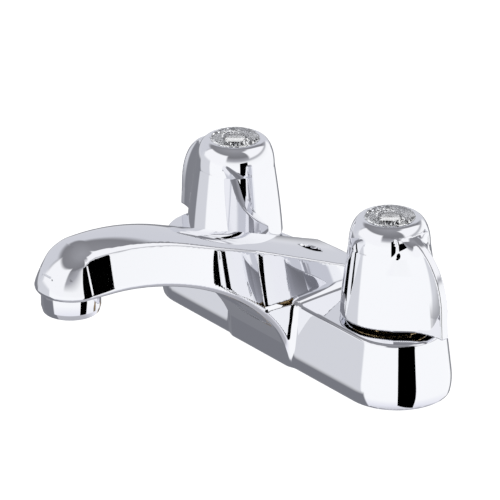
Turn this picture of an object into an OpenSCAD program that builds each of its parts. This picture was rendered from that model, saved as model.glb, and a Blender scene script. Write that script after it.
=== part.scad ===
// Two-handle centerset bathroom faucet with a one-piece cast body and a low rising spout.
// Frame: +Z up, z = 0 is the deck, the origin is midway between the two inlets.
// The spout points to -Y, the hot side is at -X and the cold side is at +X.

/* [Base] */
// Distance between the two inlet centres
inlet_centres = 101.6; // [95:0.1:108]
// Overall length of the base along X at its belly
base_l = 165.6; // [158:0.1:175]
// Overall depth of the base along Y at its belly
base_w = 45.2; // [43:0.1:50]
// Distance of the base's centre line in front of the inlets
base_shift = 3.5; // [2:0.1:5]
// Height of the handle pads above the deck
base_h = 28; // [26:0.1:32]
// How far the base's sides lean in from the belly to the pad
base_lean = 2.4; // [1:0.1:4]
// How far the belly stands out past the foot
base_tuck = 0.6; // [0.2:0.1:1.5]
// Height of the belly, the widest level of the base
belly_z = 5; // [3:0.1:8]
// Radius of the pad's rounded edge
pad_edge_r = 1.4; // [0.6:0.1:2.5]
// Wall between the outer skin and the hollow underside
base_wall = 3; // [2:0.1:4]
// Thickness of the pad above the hollow underside
pad_wall = 4; // [3:0.1:6]

/* [Spout] */
// Reach from the inlet line to the outlet's axis
spout_reach = 122; // [112:0.5:132]
// Height of the outlet's lip above the deck
lip_z = 55.5; // [52:0.1:60]
// Highest level of the spout's crown
crown_z = 79.6; // [77:0.1:84]
// Height of the crown above the inlet line
root_z = 39.5; // [37:0.1:42]
// Half width of the spout at the outlet
tip_half_w = 15; // [14:0.1:17]
// Half width of the spout where it leaves the base
root_half_w = 20; // [18:0.1:22]
// Distance from the outlet's axis to the spout's tip
tip_l = 17.5; // [16:0.1:20]
// Rise of the crown's arch at the outlet
tip_arch = 4; // [2:0.1:5]
// Rise of the crown's arch at the base
root_arch = 2.2; // [1:0.1:4]
// Radius of the spout's lower edges
under_r = 2.5; // [1:0.1:4]
// Depth of the waterway's elbow below the crown
elbow_depth = 11.5; // [11:0.1:14]
// Bore of the waterway in the spout
spout_bore_d = 10; // [8:0.1:11]
// Diameter of the lift rod's hole
rod_hole_d = 9; // [7:0.1:10]
// Place of the lift rod's hole along Y
rod_hole_y = 0; // [-2:0.1:2]

/* [Handle] */
// Gap between the base's pad and the handle skirt's lower edge
skirt_gap = 1.8; // [1:0.1:3]
// Height of the handle from its skirt to the button's rim
handle_h = 41.7; // [40:0.1:46]
// Radius of the handle's skirt
skirt_r = 20; // [19:0.1:22]
// Radius of the handle at its shoulder
shoulder_r = 16.6; // [15.5:0.1:18]
// Height of the rounded shoulder
shoulder_h = 11.5; // [9:0.1:13]
// Width of the metal rim round the button
rim_w = 0.7; // [0.4:0.1:1.5]
// Reach of the lever fin from the handle's axis
fin_reach = 35; // [31:0.1:38]
// Flare of the fin's foot
fin_flare = 0.5; // [0:0.1:1.5]
// Thickness of the fin's end
fin_t = 3.6; // [2.5:0.1:5]
// Angle each side of the fin at which it leaves the round body
fin_angle = 29; // [25:0.5:34]
// Wall of the handle's hollow skirt
skirt_wall = 2.6; // [2:0.1:3.5]

/* [Button] */
// Diameter of the clear index button
button_d = 20.4; // [18:0.1:22]
// Depth of the button's recess in the handle
button_recess = 4.5; // [3.5:0.1:6]
// Height of the button's dome above the rim
button_dome = 2.2; // [1:0.1:3.5]
// Thickness of the index disc under the button
index_t = 0.8; // [0.4:0.1:1.2]

/* [Valve] */
// Bore of the valve chamber
chamber_d = 22; // [21:0.1:24]
// Wall of the valve boss round the chamber
boss_wall = 2.5; // [2:0.1:3.5]
// Level of the seat at the chamber's floor
seat_z = 8; // [7.5:0.1:9]
// Bore of the seat
seat_bore_d = 10; // [8:0.1:11]
// Height of the cartridge's wide part
cartridge_h = 14.5; // [14:0.1:16]
// Bore of the cartridge's wide part
cartridge_bore_d = 17; // [16:0.1:18]
// Width of the cartridge's side window
window_w = 8; // [6:0.5:9]
// Diameter of the cartridge's neck
neck_d = 15; // [13:0.1:16]
// How far the cartridge's neck stands above the bonnet nut
neck_rise = 3; // [2:0.1:4]
// Thickness of the seat seal
seal_t = 2.5; // [2:0.1:3]
// Thickness of each ceramic disc
disc_t = 2.5; // [2:0.1:3]
// Diameter of the stem
stem_d = 9; // [8:0.1:10]
// Diameter of the stem's foot
stem_foot_d = 12; // [11:0.1:14]
// Height of the stem's foot
stem_foot_h = 3; // [2:0.1:3.3]
// Diameter of the stem's drive end
drive_d = 8; // [7:0.1:8.6]
// Width across the two flats of the stem's drive end
drive_flat = 6.4; // [5.5:0.1:6.8]
// Gap between the top of the cartridge's neck and the stem's drive shoulder
drive_gap = 3; // [2:0.1:5]
// Gap between the stem's top and the handle screw's seat
stem_gap = 4; // [3.5:0.1:6]
// Width across the flats of the bonnet nut
bonnet_af = 24; // [23:0.1:26]
// Height of the bonnet nut's hexagon
bonnet_h = 6; // [5:0.1:7]
// Diameter of the handle screw's shank
screw_d = 4.8; // [4:0.1:5]
// Diameter of the handle screw's head
screw_head_d = 9; // [8:0.1:9.6]
// Height of the handle screw's head
screw_head_h = 3; // [2.4:0.1:3.4]
// Width of the cross slot in the handle screw's head
screw_slot_w = 1.2; // [0.8:0.1:1.6]
// Length of the handle screw's shank
screw_l = 14; // [10:0.5:16]

/* [Supply] */
// Outside diameter of the threaded inlet shank
shank_d = 20.9; // [20:0.1:21.5]
// Bore of the inlet shank
shank_bore_d = 12.7; // [11:0.1:14]
// Length of the inlet shank below the deck
shank_l = 50; // [45:0.5:60]
// Depth of the shank's socket in the body
socket_l = 6; // [5:0.1:6]
// Level of the mounting washer's upper face
washer_z = -30; // [-32:0.5:-24]
// Outside diameter of the mounting washer
washer_d = 36; // [32:0.5:40]
// Thickness of the mounting washer
washer_t = 1.6; // [1:0.1:2.5]
// Width across the flats of the mounting nut
nut_af = 28; // [26:0.1:30]
// Height of the mounting nut
nut_h = 9; // [7:0.1:12]
// Thickness of the foam gasket under the base
gasket_t = 2; // [1.5:0.1:3]

/* [Aerator] */
// Outside diameter of the aerator's housing
aerator_d = 24; // [23:0.1:25]
// Visible height of the aerator's housing
aerator_h = 8.5; // [7:0.1:10]
// Height of the tapered lower edge of the aerator's housing
aerator_taper_h = 2.3; // [1.5:0.1:3]
// How far the housing's lower edge tapers in
aerator_taper_w = 0.6; // [0.3:0.1:1]
// Outside diameter of the aerator's threaded neck
aerator_neck_d = 21.9; // [20.5:0.1:22.3]
// Height of the aerator's threaded neck
aerator_neck_h = 7; // [6:0.1:8]
// Bore of the aerator's housing
aerator_bore_d = 18.6; // [17:0.1:19]
// Height of the aerator's lower lip
aerator_lip_h = 1.5; // [1:0.1:2]
// Width of the aerator's lower lip
aerator_lip_w = 0.9; // [0.5:0.1:1.5]
// Height of the flow straightener
insert_h = 9; // [7:0.1:10]
// Diameter of each channel in the flow straightener
straightener_hole_d = 2; // [1.5:0.1:2.4]
// Thickness of the aerator's screen
screen_t = 0.6; // [0.4:0.1:1]
// Thickness of the aerator's washer
aerator_washer_t = 1.5; // [1:0.1:2]
// Width of the aerator's washer ring
aerator_washer_w = 2.9; // [2:0.1:3.2]

/* [Hidden] */

// Sides of the faucet: the cold side is as drawn and the hot side is its mirror image
HOT = -1;
COLD = 1;

// Clearances: radial for a sliding fit, and plain play for a loose part
fit = 0.05;
play = 0.3;
eps = 0.01;
$fn = 72;

// Base outline
belly_r = base_w / 2;
base_mid = base_l / 2 - belly_r;
pad_r = belly_r - base_lean;
foot_r = belly_r - base_tuck;
hollow_r = pad_r - base_wall;
hollow_top = base_h - pad_wall;
base_front = -base_shift - belly_r;
base_rear = -base_shift + belly_r;

// Spout outline: a straight rise, an easing to the crown and a round nose
crown_y = -spout_reach + 5;
ease_l = 37;
ease_y = crown_y + ease_l;
rise = (crown_z - root_z) / (ease_l / 2 - ease_y);
tip_y = -spout_reach - tip_l;
nose_z = lip_z + 2.5;
under_y = -spout_reach + 10;
under_power = 1.8;
nose_steps = 10;
nose_cut = 0.3;
rise_steps = 30;
arch_steps = 12;
edge_steps = 3;
outlet_bore_d = aerator_neck_d + 2 * fit;
outlet_bore_h = aerator_neck_h + aerator_washer_t;
outlet_neck_d = 14;
channel_z = 16;
channel_y = -15;
channel_d = 8;
channel_wall = 2.5;
channel_past = 2;
elbow_y = -spout_reach / 2;
elbow_z = root_z - elbow_y * rise - elbow_depth;
channel_top_z = lip_z + outlet_bore_h + 2;
rod_boss_d = rod_hole_d + 4;

// Handle outline
skirt_z = base_h + skirt_gap;
handle_top_z = skirt_z + handle_h;
shoulder_z = handle_top_z - shoulder_h;
rim_r = button_d / 2 + rim_w;
fin_mid_z = skirt_z + 8;
fin_top_z = handle_top_z - 1.5;
fin_power = 2.3;
skirt_power = 1.3;
fin_steps = 6;
round_steps = 14;
button_floor_z = handle_top_z - button_recess;
screw_seat_z = button_floor_z - screw_head_h - 0.5;
handle_boss_d = 14;
hollow_top_z = shoulder_z - 4;
handle_levels = [for (i = [0:8]) skirt_z + (shoulder_z - skirt_z) * i / 8];
shoulder_levels = [for (i = [1:9]) shoulder_z + shoulder_h * sin(10 * i)];

// Valve stack, from the seat upwards
neck_top_z = base_h + bonnet_h + neck_rise;
drive_z = neck_top_z + drive_gap;
stem_top_z = screw_seat_z - stem_gap;
boss_d = chamber_d + 2 * boss_wall;
disc_z = seat_z + seal_t;
moving_disc_z = disc_z + disc_t;
stem_foot_z = moving_disc_z + disc_t;
cartridge_top_z = seat_z + cartridge_h;
cartridge_floor_z = stem_foot_z + stem_foot_h + play;
ring_r = 0.68;
ring_z = cartridge_top_z - 2;
stem_ring_r = 0.6;
stem_ring_z = (base_h + neck_top_z) / 2;
disc_port_r = 2.2;

// A closed solid through a list of rings. Each ring has the same odd number of points, which pair
// up across its plane of symmetry, and the two end faces are strips between those pairs.
module loft(rings) {
    n = len(rings[0]);
    m = len(rings);
    points = [for (ring = rings) each ring];
    pairs = [for (k = [0:(n - 3) / 2]) each concat(
        [[k, k + 1, n - 1 - k]],
        k + 1 < n - 2 - k ? [[k + 1, n - 2 - k, n - 1 - k]] : []
    )];
    sides = [for (j = [0:m - 2], i = [0:n - 1]) each [
        [j * n + i, (j + 1) * n + i, j * n + (i + 1) % n],
        [j * n + (i + 1) % n, (j + 1) * n + i, (j + 1) * n + (i + 1) % n]
    ]];
    last = [for (f = pairs) [for (i = [2, 1, 0]) (m - 1) * n + f[i]]];
    polyhedron(points = points, faces = concat(pairs, sides, last));
}

// Places a part that is drawn about its own axis on the hot or the cold inlet
module at_inlet(side) {
    translate([side * inlet_centres / 2, 0, 0])
        mirror([side < 0 ? 1 : 0, 0, 0])
            children();
}

module tube(outer_d, inner_d, z0, z1) {
    translate([0, 0, z0])
        difference() {
            cylinder(d = outer_d, h = z1 - z0);
            translate([0, 0, -1])
                cylinder(d = inner_d, h = z1 - z0 + 2);
        }
}

// A round bar between two points, which runs past each of them by a given length
module bar(a, b, d, past) {
    v = b - a;
    l = norm(v);
    translate(a)
        rotate([0, acos(v[2] / l), atan2(v[1], v[0])])
            translate([0, 0, -past])
                cylinder(d = d, h = l + 2 * past);
}

module ring(r, section_r, z) {
    translate([0, 0, z])
        rotate_extrude()
            translate([r, 0])
                circle(r = section_r, $fn = 24);
}

module hexagon(af, h) {
    cylinder(d = af / cos(30), h = h, $fn = 6);
}

// Half section of the base, from its centre line outwards
function base_half() = concat(
    [[0, 0], [foot_r, 0], [belly_r - base_tuck / 4, belly_z / 2], [belly_r, belly_z]],
    [for (i = [0:6]) [
        pad_r - pad_edge_r + pad_edge_r * cos(15 * i),
        base_h - pad_edge_r + pad_edge_r * sin(15 * i)
    ]],
    [[0, base_h]]
);

module base_outer() {
    half = base_half();
    translate([0, -base_shift, 0]) {
        rotate([90, 0, 90])
            translate([0, 0, -base_mid])
                linear_extrude(2 * base_mid)
                    polygon(concat(half, [for (i = [len(half) - 2:-1:1]) [-half[i][0], half[i][1]]]));
        for (side = [-1, 1])
            translate([side * base_mid, 0, 0])
                rotate([0, 0, side > 0 ? -90 : 90])
                    rotate_extrude(angle = 180)
                        polygon(half);
    }
}

module stadium(r, z0, z1) {
    translate([0, -base_shift, z0]) {
        translate([-base_mid, -r, 0])
            cube([2 * base_mid, 2 * r, z1 - z0]);
        for (side = [-1, 1])
            translate([side * base_mid, 0, 0])
                cylinder(r = r, h = z1 - z0);
    }
}

// Crown height, half width, arch and underside of the spout at a given y
function crown(y) =
    y > ease_y ? root_z - y * rise
    : y > crown_y ? crown_z - rise * pow(y - crown_y, 2) / (2 * ease_l)
    : nose_z + (crown_z - nose_z) * sqrt(1 - pow((crown_y - y) / (crown_y - tip_y), 2));
function taper(y) = min(1, (base_front - y) / (base_front + spout_reach));
function full_w(y) = y > base_front ? root_half_w : root_half_w + (tip_half_w - root_half_w) * taper(y);
function half_w(y) = y > -spout_reach ? full_w(y) : tip_half_w * sqrt(1 - pow((-spout_reach - y) / tip_l, 2));
function arch(y) = (root_arch + (tip_arch - root_arch) * (y > base_front ? 0 : taper(y))) * pow(half_w(y) / full_w(y), 2);
function under_t(y) = (y - under_y) / (base_front - under_y);
function under(y) =
    y < under_y ? lip_z
    : y < base_front ? lip_z * pow(1 - pow(under_t(y), under_power), 1 / under_power)
    : 0;

// One cross section of the spout: rounded lower edges, plain sides and an arched crown
function spout_ring(y) =
    let (w = half_w(y), z0 = under(y), z1 = crown(y) - arch(y), r = min(under_r, w / 2, (z1 - z0) / 2))
    concat(
        [for (i = [0:edge_steps]) [w - r + r * sin(90 * i / edge_steps), y, z0 + r - r * cos(90 * i / edge_steps)]],
        [for (i = [0:arch_steps]) let (t = 1 - 2 * i / arch_steps) [w * t, y, z1 + arch(y) * (1 - t * t)]],
        [for (i = [edge_steps:-1:0]) [-w + r - r * sin(90 * i / edge_steps), y, z0 + r - r * cos(90 * i / edge_steps)]]
    );

module spout_outer() {
    rise_ys = [for (i = [0:rise_steps])
        -spout_reach + (base_front + spout_reach) * cos(90 * i / rise_steps)];
    nose_ys = [for (i = [1:nose_steps])
        -spout_reach - (tip_l - nose_cut) * sin(90 * i / nose_steps)];
    loft([for (y = concat([base_rear, base_front + eps], rise_ys, nose_ys)) spout_ring(y)]);
}

module valve_bores() {
    translate([0, 0, seat_z])
        cylinder(d = chamber_d, h = base_h);
    translate([0, 0, -1])
        cylinder(d = seat_bore_d, h = base_h);
    translate([0, 0, -1])
        cylinder(d = shank_d + 2 * fit, h = socket_l + 1);
}

function inlet_point(side) = [side * inlet_centres / 2, 0, channel_z];
channel_start = [0, channel_y, channel_z];
channel_elbow = [0, elbow_y, elbow_z];
channel_end = [0, -spout_reach, channel_top_z];

module channel(d, whole) {
    for (side = [-1, 1])
        bar(channel_start, inlet_point(side), d, 1);
    if (whole) {
        bar(channel_start, channel_elbow, spout_bore_d, channel_past);
        bar(channel_elbow, channel_end, spout_bore_d, channel_past);
    }
}

// The casting: base, valve bosses, waterway and spout are one piece
module body() {
    color("silver")
        difference() {
            union() {
                difference() {
                    union() {
                        base_outer();
                        spout_outer();
                    }
                    stadium(hollow_r, -1, hollow_top);
                }
                intersection() {
                    union() {
                        for (side = [HOT, COLD])
                            at_inlet(side)
                                cylinder(d = boss_d, h = base_h - eps);
                        channel(channel_d + 2 * channel_wall, false);
                        translate([0, rod_hole_y, 0])
                            cylinder(d = rod_boss_d, h = base_h - eps);
                    }
                    stadium(hollow_r + base_wall / 2, 0, base_h - pad_wall / 2);
                }
            }
            for (side = [HOT, COLD])
                at_inlet(side)
                    valve_bores();
            channel(channel_d, true);
            translate([0, rod_hole_y, -1])
                cylinder(d = rod_hole_d, h = crown_z);
            translate([0, -spout_reach, lip_z - 1])
                cylinder(d = outlet_bore_d, h = outlet_bore_h + 1);
            translate([0, -spout_reach, lip_z])
                cylinder(d = outlet_neck_d, h = channel_top_z + spout_bore_d / 2 - lip_z);
        }
}

// Foam gasket in the mouth of the hollow underside
module base_gasket() {
    color("dimgray")
        difference() {
            stadium(hollow_r - play, 0, gasket_t);
            for (side = [HOT, COLD])
                at_inlet(side)
                    translate([0, 0, -1])
                        cylinder(d = boss_d + 2 * play, h = gasket_t + 2);
            translate([0, rod_hole_y, -1])
                cylinder(d = rod_boss_d + 2 * play, h = gasket_t + 2);
        }
}

module shank(side) {
    color("goldenrod")
        at_inlet(side)
            tube(shank_d, shank_bore_d, -shank_l, socket_l);
}

module mounting_washer(side) {
    color("lightgray")
        at_inlet(side)
            tube(washer_d, shank_d + 4 * fit, washer_z - washer_t, washer_z);
}

module mounting_nut(side) {
    color("goldenrod")
        at_inlet(side)
            translate([0, 0, washer_z - washer_t - nut_h])
                difference() {
                    hexagon(nut_af, nut_h);
                    translate([0, 0, -1])
                        cylinder(d = shank_d + 2 * fit, h = nut_h + 2);
                }
}

module seat_seal(side) {
    color("black")
        at_inlet(side)
            tube(cartridge_bore_d - 2 * fit, seat_bore_d, seat_z, disc_z);
}

// Each ceramic disc has two round ports
module ceramic_disc(z) {
    translate([0, 0, z])
        difference() {
            cylinder(d = cartridge_bore_d - 2 * fit, h = disc_t);
            for (a = [0, 180])
                rotate([0, 0, a])
                    translate([seat_bore_d / 4 + disc_port_r / 2, 0, -1])
                        cylinder(r = disc_port_r, h = disc_t + 2);
        }
}

module fixed_disc(side) {
    color("ivory")
        at_inlet(side)
            ceramic_disc(disc_z);
}

module moving_disc(side) {
    color("white")
        at_inlet(side)
            rotate([0, 0, 90])
                ceramic_disc(moving_disc_z);
}

module cartridge(side) {
    color("goldenrod")
        at_inlet(side)
            difference() {
                union() {
                    translate([0, 0, seat_z])
                        cylinder(d = chamber_d - 2 * fit, h = cartridge_h);
                    translate([0, 0, seat_z])
                        cylinder(d = neck_d, h = neck_top_z - seat_z);
                }
                translate([0, 0, seat_z - 1])
                    cylinder(d = cartridge_bore_d, h = cartridge_floor_z - seat_z + 1);
                translate([0, 0, seat_z])
                    cylinder(d = stem_d + 2 * fit, h = neck_top_z);
                tube(chamber_d + 1, chamber_d - 4 * ring_r - 2 * fit, ring_z - ring_r, ring_z + ring_r);
                translate([-chamber_d, -window_w / 2, moving_disc_z + disc_t / 2])
                    cube([chamber_d, window_w, cartridge_floor_z - moving_disc_z - disc_t / 2]);
            }
}

module cartridge_oring(side) {
    color("black")
        at_inlet(side)
            ring(chamber_d / 2 - ring_r - fit / 2, ring_r - fit / 2, ring_z);
}

module stem(side) {
    color("goldenrod")
        at_inlet(side)
            difference() {
                union() {
                    translate([0, 0, stem_foot_z])
                        cylinder(d = stem_foot_d, h = stem_foot_h);
                    translate([0, 0, stem_foot_z])
                        cylinder(d = stem_d, h = drive_z - stem_foot_z);
                    intersection() {
                        translate([0, 0, stem_foot_z])
                            cylinder(d = drive_d, h = stem_top_z - stem_foot_z);
                        translate([-drive_d, -drive_flat / 2, stem_foot_z])
                            cube([2 * drive_d, drive_flat, stem_top_z - stem_foot_z]);
                    }
                }
                tube(stem_d + 1, stem_d - 4 * stem_ring_r, stem_ring_z - stem_ring_r, stem_ring_z + stem_ring_r);
                translate([0, 0, screw_seat_z - screw_l - 1])
                    cylinder(d = screw_d + 2 * fit, h = stem_top_z);
            }
}

module stem_oring(side) {
    color("black")
        at_inlet(side)
            ring(stem_d / 2 - stem_ring_r + fit / 2, stem_ring_r - fit / 2, stem_ring_z);
}

// The bonnet nut screws into the chamber's mouth and holds the cartridge down
module bonnet_nut(side) {
    color("silver")
        at_inlet(side)
            difference() {
                union() {
                    translate([0, 0, cartridge_top_z])
                        cylinder(d = chamber_d - 2 * fit, h = base_h - cartridge_top_z);
                    translate([0, 0, base_h])
                        hexagon(bonnet_af, bonnet_h);
                }
                translate([0, 0, cartridge_top_z - 1])
                    cylinder(d = neck_d + 2 * fit, h = base_h + bonnet_h);
            }
}

// Radius of the round body and reach of the fin at a given level
function bell_r(z) =
    z <= shoulder_z
        ? skirt_r - (skirt_r - shoulder_r) * pow((z - skirt_z) / (shoulder_z - skirt_z), skirt_power)
        : rim_r + (shoulder_r - rim_r) * sqrt(max(0, 1 - pow((z - shoulder_z) / shoulder_h, 2)));
function fin_t_at(z) = (z - fin_mid_z) / (fin_top_z - fin_mid_z);
function fin_x(z) =
    z < fin_mid_z
        ? fin_reach + fin_flare * (fin_mid_z - z) / (fin_mid_z - skirt_z)
        : fin_reach * pow(max(0, 1 - pow(fin_t_at(z), fin_power)), 1 / fin_power);

// Half outline of the handle at one level: the fin's end, its hollow flank, then the round body
function handle_half(z) =
    let (
        r = bell_r(z),
        x1 = max(fin_x(z), r),
        x0 = r * cos(fin_angle),
        y0 = r * sin(fin_angle)
    )
    concat(
        [for (i = [0:fin_steps - 1]) let (t = i / fin_steps) [x1 + (x0 - x1) * t, fin_t / 2 + (y0 - fin_t / 2) * t * t]],
        [for (i = [0:round_steps - 1]) let (a = fin_angle + (180 - fin_angle) * i / round_steps) [r * cos(a), r * sin(a)]]
    );

function handle_ring(z) =
    let (half = handle_half(z))
    concat(
        [for (p = half) [p[0], p[1], z]],
        [[-bell_r(z), 0, z]],
        [for (i = [len(half) - 1:-1:0]) [half[i][0], -half[i][1], z]]
    );

// Hollow of the skirt, open below, which follows the round body inside
module handle_hollow() {
    rotate_extrude()
        polygon(concat(
            [[0, skirt_z - 1], [skirt_r - skirt_wall, skirt_z - 1]],
            [for (z = handle_levels) if (z < hollow_top_z) [bell_r(z) - skirt_wall, z]],
            [[shoulder_r - skirt_wall, hollow_top_z], [0, hollow_top_z]]
        ));
}

module handle(side) {
    color("gainsboro")
        at_inlet(side)
            difference() {
                loft([for (z = concat(handle_levels, shoulder_levels)) handle_ring(z)]);
                difference() {
                    handle_hollow();
                    translate([0, 0, drive_z])
                        cylinder(d = handle_boss_d, h = handle_h);
                }
                intersection() {
                    translate([0, 0, skirt_z])
                        cylinder(d = drive_d + 2 * fit, h = stem_top_z + play - skirt_z);
                    translate([-drive_d, -drive_flat / 2 - fit, skirt_z])
                        cube([2 * drive_d, drive_flat + 2 * fit, handle_h]);
                }
                translate([0, 0, drive_z])
                    cylinder(d = screw_d + 2 * play, h = handle_h);
                translate([0, 0, screw_seat_z])
                    cylinder(d = screw_head_d + 2 * play, h = handle_h);
                translate([0, 0, button_floor_z])
                    cylinder(d = button_d + 2 * fit, h = handle_h);
            }
}

module handle_screw(side) {
    color("gray")
        at_inlet(side)
            difference() {
                union() {
                    translate([0, 0, screw_seat_z - screw_l])
                        cylinder(d = screw_d, h = screw_l);
                    translate([0, 0, screw_seat_z])
                        cylinder(d = screw_head_d, h = screw_head_h);
                }
                for (a = [0, 90])
                    rotate([0, 0, a])
                        translate([-screw_head_d / 4, -screw_slot_w / 2, screw_seat_z + screw_head_h / 2])
                            cube([screw_head_d / 2, screw_slot_w, screw_head_h]);
            }
}

module index_disc(side) {
    color(side == HOT ? "tomato" : "steelblue")
        at_inlet(side)
            translate([0, 0, button_floor_z])
                cylinder(d = button_d - 2 * fit, h = index_t);
}

// Clear button: a plain disc with a low dome
module index_button(side) {
    color("lightcyan", 0.5)
        at_inlet(side)
            translate([0, 0, button_floor_z + index_t])
                rotate_extrude()
                    polygon(concat(
                        [[0, 0], [button_d / 2, 0]],
                        [for (i = [0:8]) [
                            button_d / 2 * cos(10 * i),
                            button_recess - index_t + button_dome * sin(10 * i)
                        ]],
                        [[0, button_recess - index_t + button_dome]]
                    ));
}

module at_outlet() {
    translate([0, -spout_reach, 0])
        children();
}

module aerator_housing() {
    color("silver")
        at_outlet()
            difference() {
                union() {
                    translate([0, 0, lip_z - aerator_h])
                        cylinder(d1 = aerator_d - 2 * aerator_taper_w, d2 = aerator_d, h = aerator_taper_h);
                    translate([0, 0, lip_z - aerator_h + aerator_taper_h])
                        cylinder(d = aerator_d, h = aerator_h - aerator_taper_h);
                    translate([0, 0, lip_z - aerator_h])
                        cylinder(d = aerator_neck_d, h = aerator_h + aerator_neck_h);
                }
                translate([0, 0, lip_z - aerator_h - 1])
                    cylinder(d = aerator_bore_d - 2 * aerator_lip_w, h = aerator_h);
                translate([0, 0, lip_z - aerator_h + aerator_lip_h])
                    cylinder(d = aerator_bore_d, h = aerator_h + aerator_neck_h);
            }
}

// Flow straightener with a ring of round channels
module aerator_insert() {
    color("whitesmoke")
        at_outlet()
            translate([0, 0, lip_z - aerator_h + aerator_lip_h])
                difference() {
                    cylinder(d = aerator_bore_d - 2 * fit, h = insert_h);
                    for (a = [0:60:300])
                        rotate([0, 0, a])
                            translate([aerator_bore_d / 6, 0, -1])
                                cylinder(d = straightener_hole_d, h = insert_h + 2);
                    for (a = [0:30:330])
                        rotate([0, 0, a])
                            translate([aerator_bore_d / 3, 0, -1])
                                cylinder(d = straightener_hole_d, h = insert_h + 2);
                }
}

module aerator_screen() {
    color("gray")
        at_outlet()
            translate([0, 0, lip_z - aerator_h + aerator_lip_h + insert_h])
                cylinder(d = aerator_bore_d - 2 * fit, h = screen_t);
}

module aerator_washer() {
    color("black")
        at_outlet()
            tube(aerator_neck_d, aerator_neck_d - 2 * aerator_washer_w,
                lip_z + aerator_neck_h, lip_z + outlet_bore_h);
}

body();
base_gasket();
shank(HOT);  // hot_shank
shank(COLD);  // cold_shank
mounting_washer(HOT);  // hot_mounting_washer
mounting_washer(COLD);  // cold_mounting_washer
mounting_nut(HOT);  // hot_mounting_nut
mounting_nut(COLD);  // cold_mounting_nut
seat_seal(HOT);  // hot_seat_seal
seat_seal(COLD);  // cold_seat_seal
fixed_disc(HOT);  // hot_fixed_disc
fixed_disc(COLD);  // cold_fixed_disc
moving_disc(HOT);  // hot_moving_disc
moving_disc(COLD);  // cold_moving_disc
cartridge(HOT);  // hot_cartridge
cartridge(COLD);  // cold_cartridge
cartridge_oring(HOT);  // hot_cartridge_oring
cartridge_oring(COLD);  // cold_cartridge_oring
stem(HOT);  // hot_stem
stem(COLD);  // cold_stem
stem_oring(HOT);  // hot_stem_oring
stem_oring(COLD);  // cold_stem_oring
bonnet_nut(HOT);  // hot_bonnet_nut
bonnet_nut(COLD);  // cold_bonnet_nut
handle(HOT);  // hot_handle
handle(COLD);  // cold_handle
handle_screw(HOT);  // hot_handle_screw
handle_screw(COLD);  // cold_handle_screw
index_disc(HOT);  // hot_index_disc
index_disc(COLD);  // cold_index_disc
index_button(HOT);  // hot_index_button
index_button(COLD);  // cold_index_button
aerator_housing();
aerator_insert();
aerator_screen();
aerator_washer();
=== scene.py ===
"""Two-handle centerset bathroom faucet in polished chrome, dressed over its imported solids."""

import math

import bmesh
import bpy
import numpy as np
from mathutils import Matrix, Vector


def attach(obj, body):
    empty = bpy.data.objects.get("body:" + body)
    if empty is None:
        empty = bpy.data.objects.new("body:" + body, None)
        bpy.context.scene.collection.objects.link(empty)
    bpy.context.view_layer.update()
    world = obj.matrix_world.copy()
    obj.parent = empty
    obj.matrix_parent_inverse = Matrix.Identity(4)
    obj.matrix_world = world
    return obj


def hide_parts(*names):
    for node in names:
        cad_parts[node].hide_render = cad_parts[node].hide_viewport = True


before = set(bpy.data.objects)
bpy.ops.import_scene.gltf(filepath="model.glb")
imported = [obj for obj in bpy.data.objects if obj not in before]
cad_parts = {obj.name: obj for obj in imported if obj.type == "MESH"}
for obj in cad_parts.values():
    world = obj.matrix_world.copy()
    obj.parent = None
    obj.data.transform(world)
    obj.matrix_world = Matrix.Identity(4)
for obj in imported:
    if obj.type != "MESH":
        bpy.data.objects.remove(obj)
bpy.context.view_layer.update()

bl_info = {
    "name": "Centerset bathroom faucet",
    "version": (1, 0, 0),
    "blender": (4, 5, 0),
    "location": "View3D > Sidebar > Faucet",
    "description": "Dresses a two-handle centerset faucet: cast body, lever handles, buttons and fittings",
    "category": "Object",
}

MM = 0.001


def length(title, text, default):
    """A length property in metres, given here in millimetres."""
    return bpy.props.FloatProperty(name=title, description=text, default=default * MM, min=0.0,
                                   precision=5, unit="LENGTH", subtype="DISTANCE")


def tint(title, text, default):
    """A colour property."""
    return bpy.props.FloatVectorProperty(name=title, description=text, default=default, size=3,
                                         min=0.0, max=1.0, subtype="COLOR")


def amount(title, text, default):
    """A plain factor from nothing to one."""
    return bpy.props.FloatProperty(name=title, description=text, default=default, min=0.0, max=1.0,
                                   subtype="FACTOR")


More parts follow.
